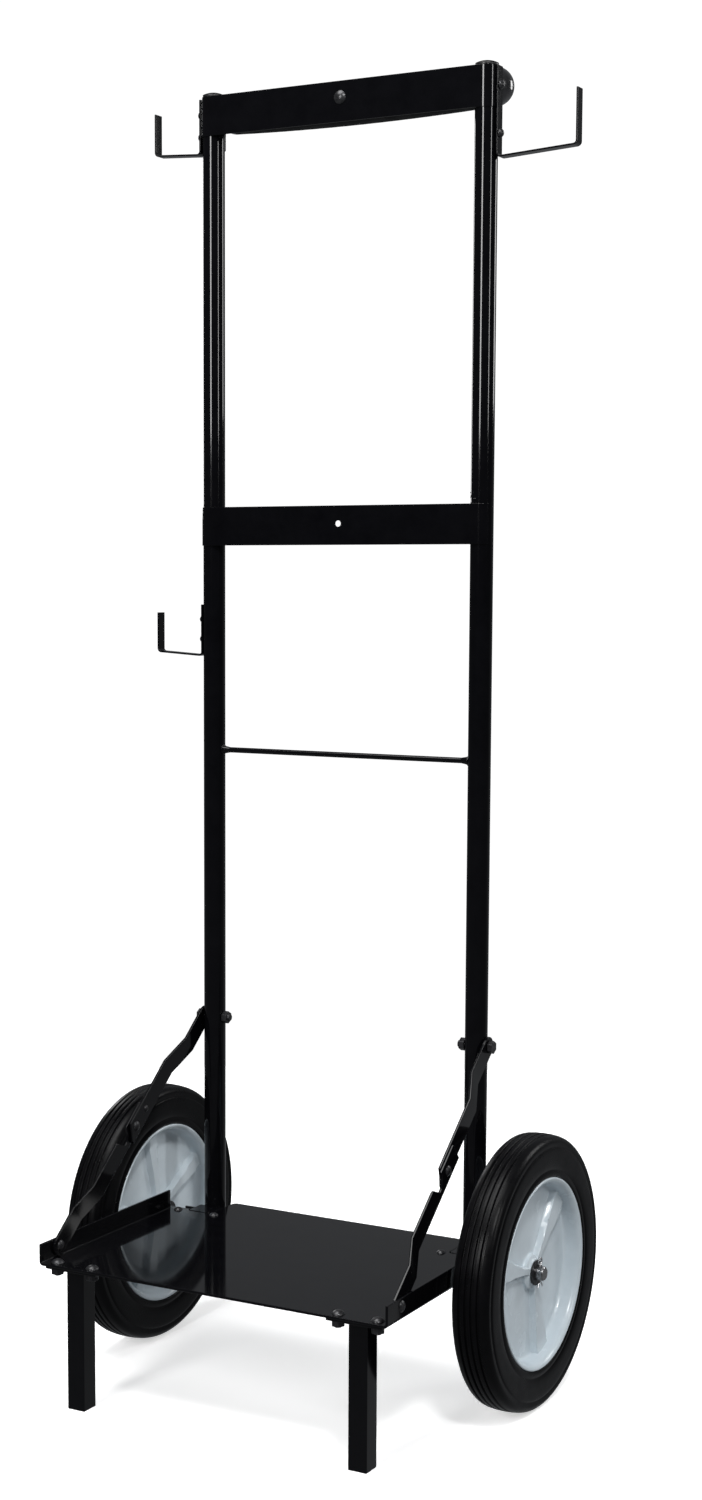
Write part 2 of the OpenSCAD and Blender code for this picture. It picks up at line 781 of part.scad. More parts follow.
// Lower link: foot end on the side of the base, a tooth and a notch in front of the knee
lower_joggle = [43, 75];
lower_tail = 26;
tooth_from = link_len - 37;         // start of the tooth's sloping face
neck_w = 7.5;                       // what the notch leaves of the bar's width
module stay_lower() {
  neck = stay_w - neck_w;
  eye_from = link_len - 11;         // end of the notch, where the bar is full width again
  color(black_paint) along_stay(stay_foot) mirror([1, 0, 0]) difference() {
    union() {
      joggled_bar(link_len + lower_tail, stay_x_foot, stay_x_lower, lower_joggle[0], lower_joggle[1]);
      bar_end(0, stay_x_foot);
    }
    bar_hole(0, foot_rivet_d);
    edge_cut([[tooth_from, -cut], [tooth_from + 3, 1.5], [tooth_from + 10.5, neck], [tooth_from + 15, neck],
              [tooth_from + 21, neck - 4], [eye_from - 2, neck - 8], [eye_from, -cut]]);
  }
}

module stay_upper_right() { stay_upper(); }
module stay_upper_left() { other_side() stay_upper(); }
module stay_lower_right() { stay_lower(); }
module stay_lower_left() { other_side() stay_lower(); }

// Bolt through the upright: hexagon head outside the stay, nut inside the frame
module stay_bolt() {
  head_x = stay_x_top + stay_t + gap;
  rod_x(stay_bolt_d, head_x - tube_in + 9, tube_in - 9, stay_top[0], stay_top[1]);
  hex_x(13, 5.5, head_x, stay_top[0], stay_top[1]);
  hex_x(13, 6.5, tube_in - 6.5, stay_top[0], stay_top[1]);
}
module stay_bolts() {
  color(bolt_black) {
    stay_bolt();
    other_side() stay_bolt();
  }
}

// Rivet that carries the stay's foot on the side of the base
module foot_rivet() {
  inner = stay_x_foot - gap;
  rod_x(foot_rivet_d, base_half - inner, inner, stay_foot[0], stay_foot[1]);
  translate([base_half, stay_foot[0], stay_foot[1]]) dome_head(13, 3);
  translate([inner, stay_foot[0], stay_foot[1]]) mirror([1, 0, 0]) dome_head(13, 2.6);
}
module stay_foot_rivets() {
  color(bolt_black) {
    foot_rivet();
    other_side() foot_rivet();
  }
}

// Studs on the upper link: one at the knee on its inner face, one above it
module stay_stud() {
  color(bolt_black) along_stay(stay_top) {
    translate([link_len, stay_x_upper, 0]) rotate([0, 0, -90]) dome_head(knee_head_d, 3);
    translate([link_len - lower_tail, stay_x_upper, 0]) rotate([0, 0, -90]) dome_head(8, 2);
  }
}
module stay_stud_right() { stay_stud(); }
module stay_stud_left() { other_side() stay_stud(); }

// Rivet head of the knee on the lower link's outer face
module stay_knee_head() {
  color(bolt_black) along_stay(stay_foot) mirror([1, 0, 0]) {
    translate([link_len, stay_x_lower + stay_t, 0]) rotate([0, 0, 90]) dome_head(knee_head_d, 3);
  }
}
module stay_knee_right() { stay_knee_head(); }
module stay_knee_left() { other_side() stay_knee_head(); }

// ---------- wheels ----------

groove_depth = 1.6;
groove_w = 2.4;
groove_at = [-10.5, -3.5, 3.5, 10.5];
shoulder_r = 10;
rim_r = rim_d / 2;
seat_r = rim_r - 5;                 // the tyre's seat on the rim, between the rim's lips
tyre_half = wheel_w / 2;
seat_half = tyre_half - 5;

// Half section of the tyre: x is the radius, y is along the axle
module tyre_section() {
  bead_r = 2;                       // round groove beside the rim on each sidewall
  difference() {
    union() {
      polygon([[rim_r + cut, seat_half + 1], [seat_r, seat_half - 1], [seat_r, -seat_half + 1],
               [rim_r + cut, -seat_half - 1]]);
      translate([rim_r, -tyre_half]) square([wheel_r - shoulder_r - rim_r, wheel_w]);
      translate([wheel_r - shoulder_r - cut, -tyre_half + shoulder_r])
        square([shoulder_r + cut, wheel_w - 2 * shoulder_r]);
      for (side = [-1, 1]) translate([wheel_r - shoulder_r, side * (tyre_half - shoulder_r)])
        circle(r = shoulder_r);
    }
    for (y = groove_at) translate([wheel_r - groove_depth, y - groove_w / 2])
      square([groove_depth + 1, groove_w]);
    for (side = [-1, 1]) translate([rim_r + 9, side * (tyre_half + 0.4)]) circle(r = bead_r);
  }
}

module tyre_at() {
  color(rubber_black) translate([wheel_x, axle_y, axle_z]) rotate([0, 90, 0])
    rotate_extrude() tyre_section();
}
module tyre_right() { tyre_at(); }
module tyre_left() { other_side() tyre_at(); }

disc_t = 4;
disc_y = tyre_half - dish_depth;          // outer face of the disc from the wheel's middle
hub_d = 38;
hub_nose_d = 27;                     // the hub narrows towards its outer end
rib_h = 7;
outer_rib = [4.5, 15];               // half width of a rib at the hub and at the drum wall
inner_rib = [5, 10];
hub_end = hub_out - wheel_x + hub_half;  // outer end of the hub from the wheel's middle
well_r = rim_r - 9;                       // inside of the rim's wall at the disc
bush_r = axle_r + 3.2;

// Half section of the rim: lips that hold the tyre, a drum wall, the disc and the hub
module rim_section() {
  lip = tyre_half - 1.6;
  flare = seat_half - 1;
  inner = hub_d / 2 - 1;
  polygon([
    [rim_r, lip], [rim_r - 1.5, lip + 0.8], [rim_r - 3.5, lip], [well_r + 2, flare], [well_r, disc_y],
    [inner, disc_y], [inner, disc_y - disc_t], [well_r, disc_y - disc_t], [well_r + 2, -flare],
    [rim_r - 3.5, -lip], [rim_r - 1.5, -lip - 0.8], [rim_r, -lip], [rim_r, -seat_half - 1],
    [seat_r, -seat_half + 1], [seat_r, seat_half - 1], [rim_r, seat_half + 1]]);
  hub_section(1, hub_end);
  hub_section(-1, hub_end - 2 * hub_half);
}

// Half section of one side of the hub, from inside the disc to the given end
module hub_section(way, end) {
  start = disc_y - disc_t / 2;
  step = start + way * (disc_t / 2 + rib_h * 0.6);
  polygon([
    [bush_r, start - way * cut], [hub_d / 2, start - way * cut], [hub_d / 2, step],
    [hub_nose_d / 2 + 1, end - way * 1.5], [hub_nose_d / 2, end], [bush_r, end]]);
}

// Ribs from the hub to the rim, narrow at the hub and wider at the drum wall
module ribs(count, first, half, from_y, to_y) {
  for (i = [0 : count - 1]) rotate([0, 0, 90 + first + i * 360 / count])
    translate([0, 0, from_y]) linear_extrude(height = to_y - from_y) polygon([
      [bush_r + 2, -half[0]], [well_r + 1, -half[1]], [well_r + 1, half[1]], [bush_r + 2, half[0]]]);
}

rib_angle = 45;
inner_rib_angle = 27;
module rim_at() {
  color(rim_white) translate([wheel_x, axle_y, axle_z]) rotate([0, 90, 0]) {
    rotate_extrude() rim_section();
    ribs(rib_count, rib_angle, outer_rib, disc_y - cut, disc_y + rib_h);
    ribs(inner_rib_count, inner_rib_angle, inner_rib, disc_y - disc_t - rib_h, disc_y - disc_t + cut);
  }
}
module rim_right() { rim_at(); }
module rim_left() { other_side() rim_at(); }

// Steel sleeve pressed in the hub, which turns on the axle
module hub_bush() {
  color(zinc) difference() {
    rod_x(2 * bush_r, 2 * hub_half, hub_out - hub_half, axle_y, axle_z);
    rod_x(axle_d + 2 * bore_clear, 2 * hub_half + 2, hub_out - hub_half - 1, axle_y, axle_z);
  }
}
module hub_bush_right() { hub_bush(); }
module hub_bush_left() { other_side() hub_bush(); }

// ---------- one line per part ----------

lower_upright_left();
lower_upright_right();
upper_upright_left();
upper_upright_right();
tube_cap_left();
tube_cap_right();
top_crosspiece();
middle_crosspiece();
lower_cross_rod();
hook_upper_right();
hook_upper_left();
hook_lower_left();
hook_bolts();
centre_bolt();
crosspiece_welds();
joint_screws();
rear_grip();
grip_core();
grip_end_left();
grip_end_right();
grip_bracket_left();
grip_bracket_right();
grip_bolts();
axle();
axle_welds();
upright_lugs();
axle_washers();
split_pins();
stay_bolts();
base_plate();
leg_left();
leg_right();
leg_flange_left();
leg_flange_right();
leg_bolts();
hinge_loops_left();
hinge_loops_right();
hinge_bolts();
stay_foot_rivets();
stay_upper_left();
stay_upper_right();
stay_lower_left();
stay_lower_right();
stay_stud_left();
stay_stud_right();
stay_knee_left();
stay_knee_right();
tyre_left();
tyre_right();
rim_left();
rim_right();
hub_bush_left();
hub_bush_right();
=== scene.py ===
"""Looks for the folding gas cylinder cart: camera, light, finishes and the fine shapes
that the CAD model leaves plain. Metres, +Z up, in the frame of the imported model."""

import json
import math
import random

import bmesh
import bpy
from mathutils import Matrix, Vector


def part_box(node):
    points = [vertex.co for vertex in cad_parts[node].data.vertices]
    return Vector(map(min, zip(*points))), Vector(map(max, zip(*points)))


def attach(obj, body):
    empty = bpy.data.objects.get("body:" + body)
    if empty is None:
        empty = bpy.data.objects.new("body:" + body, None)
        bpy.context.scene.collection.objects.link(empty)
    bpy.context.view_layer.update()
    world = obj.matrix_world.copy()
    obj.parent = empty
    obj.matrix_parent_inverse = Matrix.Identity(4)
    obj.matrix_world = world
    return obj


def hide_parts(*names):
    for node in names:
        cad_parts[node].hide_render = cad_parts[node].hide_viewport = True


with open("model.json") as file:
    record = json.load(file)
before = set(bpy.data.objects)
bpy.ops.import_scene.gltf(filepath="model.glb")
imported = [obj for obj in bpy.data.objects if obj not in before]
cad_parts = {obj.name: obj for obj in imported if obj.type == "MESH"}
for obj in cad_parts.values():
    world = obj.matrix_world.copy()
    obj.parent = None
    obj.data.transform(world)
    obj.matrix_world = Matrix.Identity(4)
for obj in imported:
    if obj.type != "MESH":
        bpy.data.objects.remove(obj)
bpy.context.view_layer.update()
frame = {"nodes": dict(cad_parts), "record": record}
nodes = frame["nodes"]
slot_of = {s["node"]: s["material_slot"] for s in frame["record"]["subparts"]}
body_of = {n: body for body, names in frame["record"]["behaviour"]["bodies"].items() for n in names}

X, Y, Z = Vector((1, 0, 0)), Vector((0, 1, 0)), Vector((0, 0, 1))
MM = 0.001


# ---------------------------------------------------------------- camera

CAMERA_DEG = (28.735, 6.046, 0.294)     # yaw to the left, pitch down and roll
CAMERA_PLACE = (1.2316, -2.1470, 0.9023)
CAMERA_LENS = 35.861
CAMERA_SENSOR = 24
CAMERA_SHIFT = (0.0003, 0.0495)


def add_camera():
    """Camera of the reference view: in front of the cart, to its right and a little above."""
    yaw, pitch, roll = (math.radians(a) for a in CAMERA_DEG)
    place = Vector(CAMERA_PLACE)
    forward = Vector((-math.sin(yaw) * math.cos(pitch), math.cos(yaw) * math.cos(pitch),
                      -math.sin(pitch)))
    right = Vector((math.cos(yaw), math.sin(yaw), 0))
    up = right.cross(forward)
    right, up = (math.cos(roll) * right + math.sin(roll) * up,
                 math.cos(roll) * up - math.sin(roll) * right)
    data = bpy.data.cameras.new("camera")
    data.sensor_fit = "VERTICAL"
    data.sensor_height = CAMERA_SENSOR
    data.lens = CAMERA_LENS
    data.shift_x, data.shift_y = CAMERA_SHIFT
    camera = bpy.data.objects.new("camera", data)
    camera.matrix_world = Matrix((
        (right.x, up.x, -forward.x, place.x),
        (right.y, up.y, -forward.y, place.y),
        (right.z, up.z, -forward.z, place.z),
        (0, 0, 0, 1)))
    bpy.context.scene.collection.objects.link(camera)
    bpy.context.scene.camera = camera


# ---------------------------------------------------------------- light and floor

# bands of the room's light: the axis they follow, then where they start and end and how bright
ROOM_BANDS = (
    ("Z", {"From Min": 0.02, "From Max": 0.75, "To Min": 0.05, "To Max": 0.16}),     # up to the ceiling
    ("Z", {"From Min": -0.5, "From Max": -0.02, "To Min": 0.2, "To Max": 0.0}),      # below
    ("Y", {"From Min": 0.45, "From Max": 0.85, "To Min": 0.0, "To Max": 0.1}))       # behind the cart
ROOM_TINT = (0.93, 0.96, 1.0, 1)
BACKDROP_POWER = 1.05
FLOOR_R = 1.7
FLOOR_CORNERS = 96
# name, place, target, size along both sides and power in watts
LIGHTS = (
    ("ceiling", (-0.5, -0.9, 3.4), (0, -0.2, 0), (1.8, 1.8), 80),
    ("box_left", (-0.25, -2.9, 1.8), (0, 0, 1.0), (0.6, 1.1), 52),
    ("box_right", (2.7, -0.55, 1.8), (0, 0, 1.0), (0.24, 1.1), 18),
    ("high_right", (1.5, -1.7, 2.8), (0.25, 0, 0.15), (0.4, 0.4), 44),
    ("back_right", (1.8, 2.3, 1.9), (0, 0, 1.0), (0.6, 1.2), 22),
    ("back_left", (-2.4, 1.6, 1.7), (0, 0, 0.9), (0.5, 1.3), 12))


def area_light(name, place, target, size, power):
    """Rectangular soft light at place that faces target."""
    data = bpy.data.lights.new(name, "AREA")
    data.shape = "RECTANGLE"
    data.size, data.size_y = size
    data.energy = power
    light = bpy.data.objects.new(name, data)
    light.location = place
    light.rotation_euler = (Vector(target) - Vector(place)).to_track_quat("-Z", "Y").to_euler()
    bpy.context.scene.collection.objects.link(light)


def add_world():
    """White backdrop. What lights the cart is a dim room, brighter above, below and behind."""
    world = bpy.data.worlds.new("studio")
    world.use_nodes = True
    tree = world.node_tree
    room = tree.nodes["Background"]
    coords = tree.nodes.new("ShaderNodeTexCoord")
    split = tree.nodes.new("ShaderNodeSeparateXYZ")
    tree.links.new(coords.outputs["Generated"], split.inputs["Vector"])
    total = None
    for axis, band in ROOM_BANDS:
        part = tree.nodes.new("ShaderNodeMapRange")
        for key, value in band.items():
            part.inputs[key].default_value = value
        tree.links.new(split.outputs[axis], part.inputs["Value"])
        if total is None:
            total = part.outputs["Result"]
        else:
            add = tree.nodes.new("ShaderNodeMath")
            add.operation = "ADD"
            tree.links.new(total, add.inputs[0])
            tree.links.new(part.outputs["Result"], add.inputs[1])
            total = add.outputs["Value"]
    tree.links.new(total, room.inputs["Strength"])
    room.inputs["Color"].default_value = ROOM_TINT

    backdrop = tree.nodes.new("ShaderNodeBackground")
    backdrop.inputs["Strength"].default_value = BACKDROP_POWER
    backdrop.inputs["Color"].default_value = (1, 1, 1, 1)
    path = tree.nodes.new("ShaderNodeLightPath")
    mix = tree.nodes.new("ShaderNodeMixShader")
    tree.links.new(path.outputs["Is Camera Ray"], mix.inputs["Fac"])
    tree.links.new(room.outputs["Background"], mix.inputs[1])
    tree.links.new(backdrop.outputs["Background"], mix.inputs[2])
    tree.links.new(mix.outputs["Shader"], tree.nodes["World Output"].inputs["Surface"])
    bpy.context.scene.world = world
    bpy.context.scene.view_settings.view_transform = "Standard"


def add_stage():
    """Room, pale floor and soft lights. The floor takes shadows but throws no light up."""
    add_world()
    mesh = bpy.data.meshes.new("floor")
    turns = [2 * math.pi * i / FLOOR_CORNERS for i in range(FLOOR_CORNERS)]
    edge_points = [(FLOOR_R * math.cos(a), FLOOR_R * math.sin(a), 0) for a in turns]
    mesh.from_pydata(edge_points, [], [range(FLOOR_CORNERS)])
    floor = bpy.data.objects.new("floor", mesh)
    bpy.context.scene.collection.objects.link(floor)
    mat = bpy.data.materials.new("floor")
    mat.use_nodes = True
    shader = mat.node_tree.nodes["Principled BSDF"]
    shader.inputs["Base Color"].default_value = (0.95, 0.95, 0.95, 1)
    shader.inputs["Roughness"].default_value = 0.9
    shader.inputs["Specular IOR Level"].default_value = 0.1
    shader.inputs["Emission Color"].default_value = (1, 1, 1, 1)
    shader.inputs["Emission Strength"].default_value = 0.55
    mesh.materials.append(mat)
    floor.visible_diffuse = floor.visible_glossy = floor.visible_shadow = False

    for light in LIGHTS:
        area_light(*light)


# ---------------------------------------------------------------- finishes

class Finish:
    """A Principled material and short ways to add noise to it."""

    def __init__(self, name):
        self.mat = bpy.data.materials.new(name)
        self.mat.use_nodes = True
        self.tree = self.mat.node_tree
        self.shader = self.tree.nodes["Principled BSDF"]
        self.coords = None

    def set(self, **values):
        for key, value in values.items():
            self.shader.inputs[key.replace("_", " ")].default_value = value
        return self

    def node(self, kind, **values):
        n = self.tree.nodes.new(kind)
        for key, value in values.items():
            if key in n.inputs:
                n.inputs[key].default_value = value
            else:
                setattr(n, key, value)
        return n

    def link(self, a, b):
        self.tree.links.new(a, b)

    def noise(self, scale, detail=4, rough=0.5):
        """Noise in object coordinates, which are metres."""
        if self.coords is None:
            self.coords = self.node("ShaderNodeTexCoord")
        n = self.node("ShaderNodeTexNoise", Scale=scale, Detail=detail, Roughness=rough)
        self.link(self.coords.outputs["Object"], n.inputs["Vector"])
        return n.outputs["Fac"]

    def ramp(self, factor, stops):
        n = self.node("ShaderNodeValToRGB")
        ends = n.color_ramp.elements
        while len(ends) < len(stops):
            ends.new(0.5)
        for end, (at, color) in zip(ends, stops):
            end.position = at
            end.color = (*color, 1)
        self.link(factor, n.inputs["Fac"])
        return n.outputs["Color"]

    def rough(self, factor, low, high):
        """Roughness from low to high as factor goes over the middle of its range."""
        n = self.node("ShaderNodeMapRange")
        n.inputs["From Min"].default_value = 0.3
        n.inputs["From Max"].default_value = 0.7
        n.inputs["To Min"].default_value = low
        n.inputs["To Max"].default_value = high
        self.link(factor, n.inputs["Value"])
        self.link(n.outputs["Result"], self.shader.inputs["Roughness"])
        return self

    def color(self, socket):
        self.link(socket, self.shader.inputs["Base Color"])
        return self

    def bump(self, height, distance, strength):
        n = self.node("ShaderNodeBump", Strength=strength, Distance=distance)
        self.link(height, n.inputs["Height"])
        self.link(n.outputs["Normal"], self.shader.inputs["Normal"])


def black_enamel():
    """Gloss black enamel on steel: smoother and duller patches, and a slightly uneven black."""
    f = Finish("paint").set(Specular_IOR_Level=0.24)
    f.rough(f.noise(7, 2), 0.05, 0.1)
    f.color(f.ramp(f.noise(30, 8, 0.7), [(0.3, (0.0012, 0.0012, 0.0017)),
                                         (0.78, (0.0028, 0.0028, 0.0036))]))
    return f.mat


def bright_zinc(name="hardware", tone=0.6):
    """Bright zinc plate: fine mottling and tool marks."""
    f = Finish(name).set(Metallic=1.0)
    f.rough(f.noise(260, 5), 0.2, 0.42)
    f.color(f.ramp(f.noise(120, 6), [(0.25, (tone * 0.8, tone * 0.8, tone * 0.82)),
                                     (0.8, (tone, tone, tone * 1.02))]))
    f.bump(f.noise(900, 3), 0.00005, 0.5)
    return f.mat


def black_oxide():
    """Black oxide on steel fasteners: satin, with rubbed brighter spots."""
    f = Finish("bolts").set(Metallic=0.35, Specular_IOR_Level=0.5)
    f.rough(f.noise(180, 5), 0.22, 0.4)
    f.color(f.ramp(f.noise(240, 7, 0.7), [(0.35, (0.008, 0.008, 0.009)), (0.85, (0.05, 0.05, 0.054))]))
    f.bump(f.noise(800, 3), 0.00005, 0.5)
    return f.mat


def gloss_end():
    """Polished moulded end of the rear grip."""
    f = Finish("grip_end").set(Specular_IOR_Level=0.7, Coat_Weight=0.4, Coat_Roughness=0.08)
    f.rough(f.noise(90, 5), 0.16, 0.28)
    f.color(f.ramp(f.noise(60, 6), [(0.3, (0.006, 0.006, 0.007)), (0.8, (0.012, 0.012, 0.014))]))
    f.bump(f.noise(500, 3), 0.00005, 0.3)
    return f.mat


def white_gloss():
    """Gloss white moulding of the rims: slight waviness and handling marks."""
    f = Finish("rim").set(Specular_IOR_Level=0.5)
    f.rough(f.noise(26, 6), 0.16, 0.3)
    f.color(f.ramp(f.noise(55, 7, 0.65), [(0.25, (0.63, 0.71, 0.76)), (0.7, (0.69, 0.77, 0.82))]))
    f.bump(f.noise(160, 3), 0.00015, 0.25)
    return f.mat


def tyre_rubber():
    """Semi-matt rubber with a fine grain and a grey bloom."""
    f = Finish("tyre").set(Specular_IOR_Level=0.09)
    f.rough(f.noise(60, 7, 0.65), 0.24, 0.38)
    f.color(f.ramp(f.noise(22, 8, 0.7), [(0.3, (0.0014, 0.0014, 0.0017)),
                                         (0.8, (0.004, 0.004, 0.0046))]))
    f.bump(f.noise(1100, 3), 0.00008, 0.3)
    return f.mat


def grip_foam():
    """Closed-cell foam rubber: soft pores and almost no gloss."""
    f = Finish("grip").set(Specular_IOR_Level=0.25)
    f.rough(f.noise(80, 6), 0.6, 0.85)
    f.color(f.ramp(f.noise(40, 7), [(0.3, (0.006, 0.006, 0.0065)), (0.75, (0.012, 0.012, 0.013))]))
    f.bump(f.noise(1800, 2), 0.0002, 0.7)
    return f.mat


def satin_cap():
    """Moulded black plastic of the tube caps."""
    f = Finish("cap").set(Specular_IOR_Level=0.4)
    f.rough(f.noise(70, 6), 0.3, 0.5)
    f.color(f.ramp(f.noise(50, 6), [(0.3, (0.006, 0.006, 0.0065)), (0.8, (0.011, 0.011, 0.012))]))
    f.bump(f.noise(700, 3), 0.00008, 0.5)
    return f.mat


finishes = {
    "paint": black_enamel(), "hardware": bright_zinc(), "bolts": black_oxide(),
    "axle": bright_zinc("axle", 0.3), "rim": white_gloss(), "tyre": tyre_rubber(),
    "grip": grip_foam(), "cap": satin_cap()}
special = {name: gloss_end() for name in ("grip_end_left", "grip_end_right")}


def paint_nodes():
    """Gives every CAD node the finish of its material slot."""
    for name, obj in nodes.items():
        obj.data.materials.clear()
        obj.data.materials.append(special.get(name, finishes[slot_of[name]]))


# ---------------------------------------------------------------- building pieces

def add_piece(name, bm, slot, body, sharp_deg, instead_of=()):
    """Makes a smooth-shaded piece from bm that rides on body and may stand for CAD nodes."""
    bmesh.ops.recalc_face_normals(bm, faces=bm.faces)
    for face in bm.faces:
        face.smooth = True
    mesh = bpy.data.meshes.new(name)
    bm.to_mesh(mesh)
    bm.free()
    mesh.set_sharp_from_angle(angle=math.radians(sharp_deg))
    mesh.materials.append(finishes[slot])
    obj = bpy.data.objects.new(name, mesh)
    bpy.context.scene.collection.objects.link(obj)
    weighted = obj.modifiers.new("weighted", "WEIGHTED_NORMAL")
    weighted.keep_sharp = True
    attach(obj, body)
    if instead_of:
        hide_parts(*instead_of)
    return obj


MERGE_M = 2e-6          # corners of a CAD mesh this close are one
FLAT_DEG = 0.5          # faces that meet at less than this become one
EDGE_DEG = 28.0         # edges sharper than this are rounded
EDGE_SEGMENTS = 2


def soften(node, radius_mm):
    """A copy of a CAD node whose sharp edges are rounded."""
    bm = bmesh.new()
    bm.from_mesh(nodes[node].data)
    bmesh.ops.remove_doubles(bm, verts=bm.verts, dist=MERGE_M)
    bmesh.ops.dissolve_limit(bm, angle_limit=math.radians(FLAT_DEG), verts=bm.verts, edges=bm.edges)
    sharp = math.radians(EDGE_DEG)
    edges = [e for e in bm.edges if e.is_manifold and e.calc_face_angle(0) > sharp]
    bmesh.ops.bevel(bm, geom=edges, offset=radius_mm * MM, segments=EDGE_SEGMENTS, profile=0.5,
                    affect="EDGES", clamp_overlap=False)
    add_piece(node + "_soft", bm, slot_of[node], body_of[node], 40.0, (node,))


def lathe(section, centre, steps, shape=None):
    """Turns a closed section, a list of (radius, along X) in mm, about the X axis through centre.
    shape(radius, along, angle) may move a point along X."""
    bm = bmesh.new()
    rings = []
    for i in range(steps):
        angle = 2 * math.pi * i / steps
        ring = []
        for radius, along in section:
            x = shape(radius, along, angle) if shape else along
            ring.append(bm.verts.new((centre.x + x * MM, centre.y + radius * MM * math.cos(angle),
                                      centre.z + radius * MM * math.sin(angle))))
        rings.append(ring)
    count = len(section)
    for i in range(steps):
        here, there = rings[i], rings[(i + 1) % steps]
        for k in range(count):
            n = (k + 1) % count
            bm.faces.new((here[k], here[n], there[n], there[k]))
    return bm


BEAD_SIDES = 8
BEAD_END = 0.45         # size of a bead's first ring, as a share of the full size
BEAD_GROW = 0.3         # how much each ring after it adds


def bead(name, path, radius_mm, body):
    """Weld bead: a rippled round run of metal along path, a list of points in metres."""
    bm = bmesh.new()
    rings = []
    last = len(path) - 1
    for i, point in enumerate(path):
        tangent = (path[min(i + 1, last)] - path[max(i - 1, 0)]).normalized()
        side = tangent.orthogonal().normalized()
        if i:
            side = (side_before - tangent * side_before.dot(tangent)).normalized()
        side_before = side
        other = tangent.cross(side)
        end_taper = min(1.0, BEAD_END + BEAD_GROW * min(i, last - i))
        ripple = 0.86 + 0.14 * math.sin(i * 2.1) + 0.05 * math.sin(i * 0.73)
        r = radius_mm * MM * end_taper * ripple
        rings.append([bm.verts.new(point + r * (math.cos(a) * side + math.sin(a) * other))
                      for a in (2 * math.pi * k / BEAD_SIDES for k in range(BEAD_SIDES))])
    for here, there in zip(rings, rings[1:]):
        for k in range(BEAD_SIDES):
            n = (k + 1) % BEAD_SIDES
            bm.faces.new((here[k], here[n], there[n], there[k]))
    bm.faces.new(rings[0][::-1])
    bm.faces.new(rings[-1])
    return add_piece(name, bm, "paint", body, 80.0)


def line(start, end, step_mm=1.1):
    """Points from start to end, about step_mm apart."""
    count = max(4, int((end - start).length / (step_mm * MM)))
    return [start.lerp(end, i / count) for i in range(count + 1)]


def circle_x(centre, radius_mm, count=40):
    """Points round a circle that faces along X."""
    return [centre + radius_mm * MM * (math.cos(a) * Y + math.sin(a) * Z)
            for a in (2 * math.pi * i / count for i in range(count + 1))]


def middle(node):
    low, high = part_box(node)
    return (low + high) / 2


# ---------------------------------------------------------------- wheels

def smooth_max(a, b, blend):
    """The larger of a and b, with a rounded corner where they cross."""
    near = max(blend - abs(a - b), 0) / blend
    return max(a, b) + near * near * blend / 4


def smooth_step(t):
    t = min(max(t, 0.0), 1.0)
    return t * t * (3 - 2 * t)


def dense(points, step):
    """The same closed outline with extra points, so that no side is longer than step."""
    out = []
    for (r0, x0), (r1, x1) in zip(points, points[1:] + points[:1]):
        count = max(1, math.ceil(math.hypot(r1 - r0, x1 - x0) / step))
        out += [(r0 + (r1 - r0) * i / count, x0 + (x1 - x0) * i / count) for i in range(count)]
    return out


def rounded(points):
    """Cuts each corner of a closed outline, which leaves flats flat and rounds the corners."""
    out = []
    for (r0, x0), (r1, x1) in zip(points, points[1:] + points[:1]):
        out.append((0.75 * r0 + 0.25 * r1, 0.75 * x0 + 0.25 * x1))
        out.append((0.25 * r0 + 0.75 * r1, 0.25 * x0 + 0.75 * x1))
    return out


# the rim, in mm; places along the axle are from the wheel's middle, outwards
RIM_R = 106.0           # outside radius
SEAT_R = 101.0          # the tyre sits on this
SEAT_HALF = 16.2        # half the seat's width
DISC_OUT = 1.2          # outer face of the disc
DISC_IN = -2.8          # inner face of the disc
BUSH_R = 11.2
WELL_R = 97.0           # inside of the drum wall at the disc
LIP_X = 20.6            # highest line of the rolled lip
# first rib in degrees, count, and half width at the hub and at the wall
OUTER_RIBS = (45, 3, 4.5, 15)
INNER_RIBS = (27, 5, 5, 10)
RIB_H = 7.0
RIB_HUB_R = 12.5        # ribs run from here
RIB_WALL_R = WELL_R + 2.4   # to here
RIB_FLARE_R = 18.0      # and widen from here
RIB_FLANK = 2.6         # width of a rib's sloping side
RIB_ROOT = 3.0          # a rib's slope starts this far under the disc's face
RIB_BLEND = 1.1         # round where a rib meets the disc or the hub
RIB_REACH = 18.0        # only what lies this near the wheel's middle plane can become a rib
RIM_TURNS = 288         # sections round the rim
RIM_SPAN = 2.4          # longest side of a section


def rim_outline():
    """Closed section of the rim: stepped hub, disc, drum wall and rolled lip on each side."""
    outer = [(BUSH_R, 9.0), (13.0, 9.0), (13.8, 8.5), (14.8, 6.9), (18.0, 5.6), (19.0, 4.9),
             (19.2, 2.6), (20.4, 1.5), (23, DISC_OUT), (WELL_R - 4, DISC_OUT),
             (WELL_R - 1.4, 2.0), (WELL_R, 4.5), (WELL_R + 1.6, 14.5), (WELL_R + 2.6, 17.2),
             (101.2, 19.6), (102.8, LIP_X), (104.4, 21.3), (105.5, 20.9), (RIM_R, 20.0),
             (RIM_R, 18.0)]
    seat = [(SEAT_R, SEAT_HALF), (SEAT_R, -SEAT_HALF)]
    inner = [(RIM_R, -18.0), (RIM_R, -20.0), (105.5, -20.9), (104.4, -21.3), (102.8, -LIP_X),
             (101.2, -19.6), (WELL_R + 2.6, -17.2), (WELL_R + 1.6, -14.5), (WELL_R, -6.5),
             (WELL_R - 1.4, -3.8), (WELL_R - 4, DISC_IN), (23, DISC_IN), (20.4, -3.2),
             (19.2, -4.4), (19.0, -7.5), (18.0, -8.4), (14.8, -17), (13.8, -20.4), (13.0, -21.0),
             (BUSH_R, -21.0)]
    return outer + seat + inner


